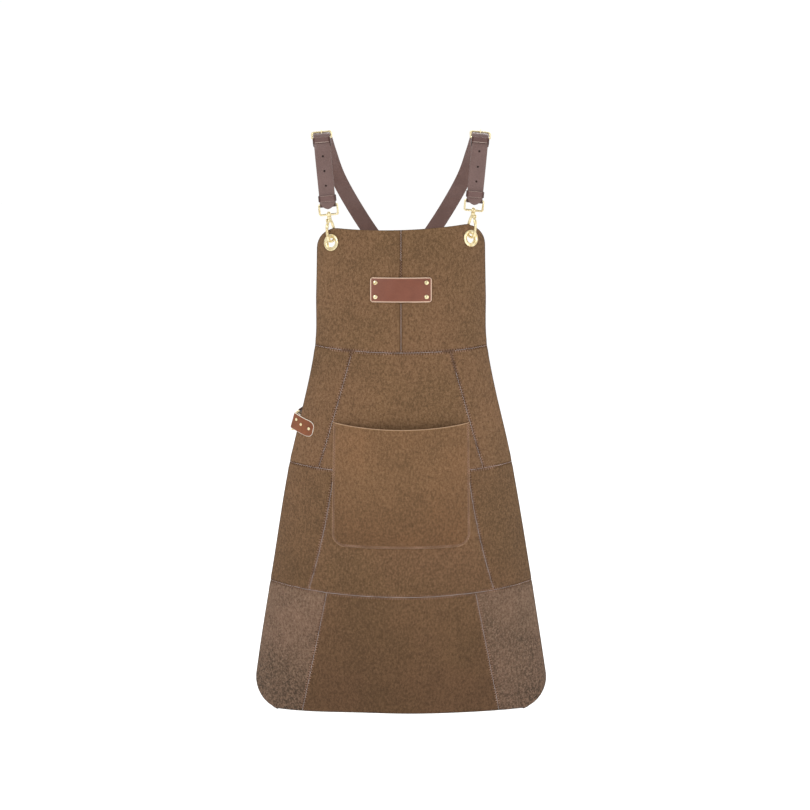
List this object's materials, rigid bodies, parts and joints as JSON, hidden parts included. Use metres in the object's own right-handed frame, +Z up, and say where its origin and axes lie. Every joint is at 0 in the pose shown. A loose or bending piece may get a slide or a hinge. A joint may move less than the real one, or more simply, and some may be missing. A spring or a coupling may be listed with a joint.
{
  "type": "welding apron",
  "caption": "Split-leather welding apron: pieced bib and skirt with a patch pocket, cross-back leather shoulder straps, brass buckles, snap hooks, grommets and side rings.",
  "frame": {"origin": "midway between the two shoulder tops, level with the undersides of the shoulder straps", "axes": "+Z up, -Y the way the wearer faces, +X the wearer's left"},
  "size_m": [0.5354, 0.2608, 1.0492],
  "materials": {
    "suede": "napped split leather, matt",
    "suede_hem": "napped split leather, matt, greyer and mottled",
    "suede_pocket": "napped split leather, matt",
    "strap_leather": "smooth, slightly glossy",
    "keeper_leather": "smooth, dark edges",
    "tab_leather": "smooth, raw pale edge",
    "label_leather": "smooth, raw pale edge",
    "brass": "antique, polished on the high spots",
    "thread": "waxed sewing thread"
  },
  "bodies": {
    "apron": {"bib_panel_right": "suede", "bib_panel_left": "suede", "waist_panel_centre": "suede", "waist_panel_right": "suede", "waist_panel_left": "suede", "skirt_panel_centre": "suede", "skirt_panel_right": "suede", "skirt_panel_left": "suede", "hem_panel_centre": "suede_hem", "hem_panel_right": "suede_hem", "hem_panel_left": "suede_hem", "pocket": "suede_pocket", "label_plate": "label_leather", "label_rivet_1": "brass", "label_rivet_2": "brass", "label_rivet_3": "brass", "label_rivet_4": "brass", "eyelet_right": "brass", "eyelet_washer_right": "brass", "eyelet_left": "brass", "eyelet_washer_left": "brass", "chape_right": "strap_leather", "upper_keeper_right": "keeper_leather", "long_strap_right": "strap_leather", "chape_left": "strap_leather", "upper_keeper_left": "keeper_leather", "long_strap_left": "strap_leather", "waist_tab_right": "tab_leather", "tab_rivet_right_1": "brass", "tab_rivet_right_2": "brass", "tab_rivet_right_3": "brass", "waist_tab_left": "tab_leather", "strap_rivet_right": "brass", "strap_rivet_left": "brass", "cross_patch": "strap_leather", "cross_rivet": "brass"},
    "buckle_right": {"buckle_frame_right": "brass"},
    "prong_right": {"buckle_prong_right": "brass"},
    "keeper_right": {"lower_keeper_right": "keeper_leather"},
    "hook_eye_right": {"hook_eye_right": "brass"},
    "hook_right": {"hook_body_right": "brass", "hook_gate_pin_right": "brass"},
    "gate_right": {"hook_gate_right": "brass"},
    "side_ring_right": {"side_ring_right": "brass"},
    "buckle_left": {"buckle_frame_left": "brass"},
    "prong_left": {"buckle_prong_left": "brass"},
    "keeper_left": {"lower_keeper_left": "keeper_leather"},
    "hook_eye_left": {"hook_eye_left": "brass"},
    "hook_left": {"hook_body_left": "brass", "hook_gate_pin_left": "brass"},
    "gate_left": {"hook_gate_left": "brass"},
    "side_ring_left": {"side_ring_left": "brass"}
  },
  "joints": [
    {"name": "buckle_tilt_right", "type": "hinge", "parent": "apron", "child": "buckle_right", "pos_m": [-0.13748, -0.05381, -0.00333], "axis": [0.9959, 0, 0.0906], "range_deg": [0, 5]},
    {"name": "prong_lift_right", "type": "hinge", "parent": "buckle_right", "child": "prong_right", "pos_m": [-0.13748, -0.05381, -0.00333], "axis": [0.9959, 0, 0.0906], "range_deg": [0, 4]},
    {"name": "keeper_slide_right", "type": "slide", "parent": "apron", "child": "keeper_right", "axis": [-0.0906, 0, 0.9959], "range_m": [0, 0.06]},
    {"name": "eye_swing_right", "type": "hinge", "parent": "apron", "child": "hook_eye_right", "pos_m": [-0.12705, -0.06624, -0.11796], "axis": [0.9959, 0, 0.0906], "range_deg": [-0.7, 2.5]},
    {"name": "hook_swivel_right", "type": "hinge", "parent": "hook_eye_right", "child": "hook_right", "pos_m": [-0.12546, -0.06624, -0.13539], "axis": [-0.0906, 0, 0.9959], "range_deg": [-11, 15]},
    {"name": "gate_open_right", "type": "hinge", "parent": "hook_right", "child": "gate_right", "pos_m": [-0.12682, -0.069, -0.14596], "axis": [0.7629, -0.6428, 0.0694], "range_deg": [0, 24], "stiffness_Nm_per_rad": 0.05},
    {"name": "ring_swing_right", "type": "hinge", "parent": "apron", "child": "side_ring_right", "pos_m": [-0.19048, -0.05485, -0.50452], "axis": [0.2659, -0.0935, 0.9595], "range_deg": [-4, 4]},
    {"name": "buckle_tilt_left", "type": "hinge", "parent": "apron", "child": "buckle_left", "pos_m": [0.13748, -0.05381, -0.00333], "axis": [0.9959, 0, -0.0906], "range_deg": [0, 5]},
    {"name": "prong_lift_left", "type": "hinge", "parent": "buckle_left", "child": "prong_left", "pos_m": [0.13748, -0.05381, -0.00333], "axis": [0.9959, 0, -0.0906], "range_deg": [0, 4]},
    {"name": "keeper_slide_left", "type": "slide", "parent": "apron", "child": "keeper_left", "axis": [0.0906, 0, 0.9959], "range_m": [0, 0.06]},
    {"name": "eye_swing_left", "type": "hinge", "parent": "apron", "child": "hook_eye_left", "pos_m": [0.12782, -0.06624, -0.1095], "axis": [0.9959, 0, -0.0906], "range_deg": [0, 3]},
    {"name": "hook_swivel_left", "type": "hinge", "parent": "hook_eye_left", "child": "hook_left", "pos_m": [0.12623, -0.06624, -0.12693], "axis": [0.0906, 0, 0.9959], "range_deg": [-15, 4]},
    {"name": "gate_open_left", "type": "hinge", "parent": "hook_left", "child": "gate_left", "pos_m": [0.12759, -0.069, -0.13749], "axis": [0.7629, 0.6428, -0.0694], "range_deg": [0, 24], "stiffness_Nm_per_rad": 0.05},
    {"name": "ring_swing_left", "type": "hinge", "parent": "apron", "child": "side_ring_left", "pos_m": [0.17659, -0.06347, -0.50892], "axis": [-0.249, -0.064, 0.9664], "range_deg": [-4, 4]}
  ]
}
